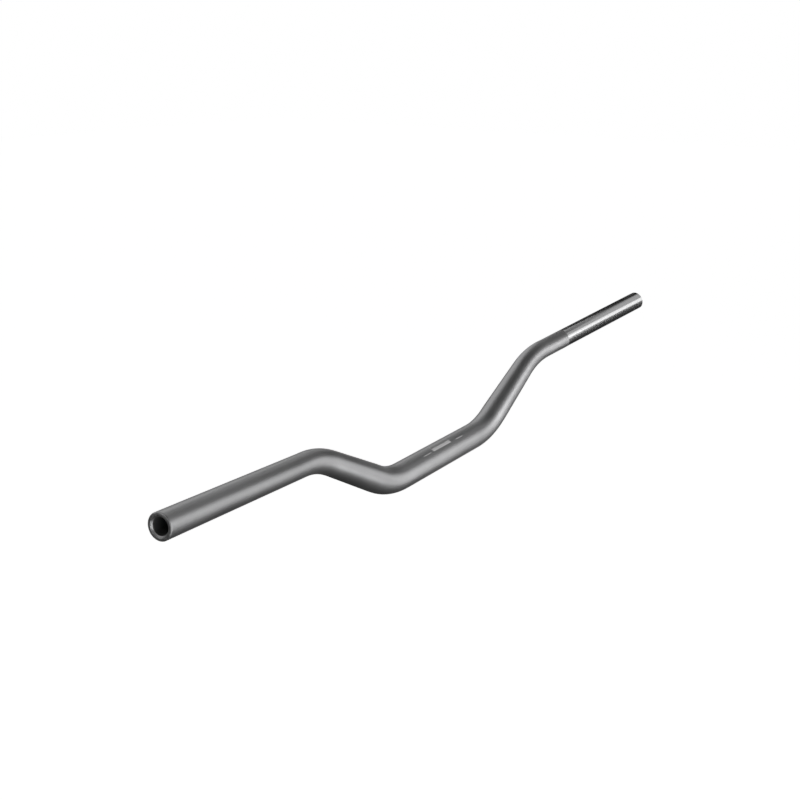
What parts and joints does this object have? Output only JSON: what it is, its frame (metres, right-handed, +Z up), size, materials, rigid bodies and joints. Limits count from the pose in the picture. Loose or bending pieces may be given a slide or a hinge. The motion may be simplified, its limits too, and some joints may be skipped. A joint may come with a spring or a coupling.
{
  "type": "tapered motorcycle handlebar",
  "caption": "Bent aluminium tube handlebar, thick at the clamp section and tapering down to its grip ends, which are open.",
  "frame": {"origin": "middle of the clamp section, on the tube's centreline", "axes": "+X to the rider's right along the clamp section, +Y forward, away from the rider, +Z up with the risers in the vertical plane"},
  "size_m": [0.8048, 0.0641, 0.1207],
  "materials": {
    "anodised_tube": "fine blasted and anodised titanium grey, satin, with the outer length of the right-hand grip polished bright"
  },
  "bodies": {
    "root": {"handlebar_tube": "anodised_tube"}
  },
  "joints": []
}
